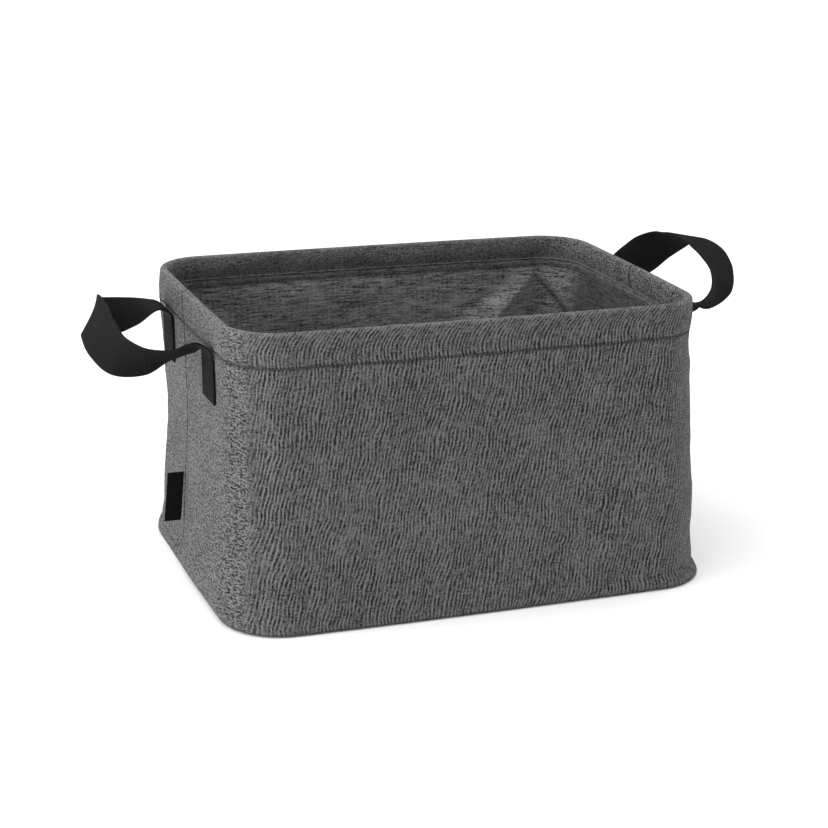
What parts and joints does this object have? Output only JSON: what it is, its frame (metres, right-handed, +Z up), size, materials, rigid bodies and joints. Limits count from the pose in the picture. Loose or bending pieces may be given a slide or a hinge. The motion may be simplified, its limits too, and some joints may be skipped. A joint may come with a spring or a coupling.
{
  "type": "fabric storage bin",
  "caption": "Collapsible open-topped rectangular storage bin in grey woven cloth, with a wire ring in the hem and a black webbing handle at each end.",
  "frame": {"origin": "centre of the flat underside, where the bin stands", "axes": "+X along the long side towards the right end, -Y the front long wall, +Z up out of the opening"},
  "size_m": [0.6242, 0.3374, 0.2934],
  "materials": {
    "cloth": "grey melange plain weave, matt",
    "lining": "grey slub lining, matt",
    "webbing": "black ribbed webbing, matt",
    "tape": "dark grosgrain binding tape",
    "underside": "black non-woven cloth",
    "label": "black woven satin, blank",
    "foam": "thin white interlining foam",
    "board": "plain hardboard",
    "steel": "drawn spring wire"
  },
  "bodies": {
    "base": {"base_binding": "tape", "underside_cover": "underside", "base_board": "board", "base_lining": "lining", "wall_back": "cloth", "wall_front": "cloth", "wall_foam_back": "foam", "wall_foam_front": "foam", "lining_back": "lining", "lining_front": "lining", "handle_end_left_front": "webbing", "handle_end_left_rear": "webbing", "handle_end_right_front": "webbing", "handle_end_right_rear": "webbing", "side_tag": "label"},
    "rim": {"hem_casing_back": "cloth", "hem_casing_front": "cloth", "rim_wire": "steel", "wire_sleeve": "steel", "rim_tape": "tape"},
    "handle_left": {"handle_loop_left": "webbing"},
    "handle_right": {"handle_loop_right": "webbing"}
  },
  "joints": [
    {"name": "rim_collapse", "type": "slide", "parent": "base", "child": "rim", "axis": [0, 0, 1], "range_m": [-0.165, 0], "deforming": ["wall_back", "wall_front", "wall_foam_back", "wall_foam_front", "lining_back", "lining_front", "handle_end_left_front", "handle_end_left_rear", "handle_end_right_front", "handle_end_right_rear", "side_tag"]},
    {"name": "handle_left_swing", "type": "hinge", "parent": "rim", "child": "handle_left", "pos_m": [-0.2225, 0, 0.229], "axis": [0, -1, 0], "range_deg": [-36, 60]},
    {"name": "handle_right_swing", "type": "hinge", "parent": "rim", "child": "handle_right", "pos_m": [0.2225, 0, 0.229], "axis": [0, 1, 0], "range_deg": [-30, 85]}
  ]
}
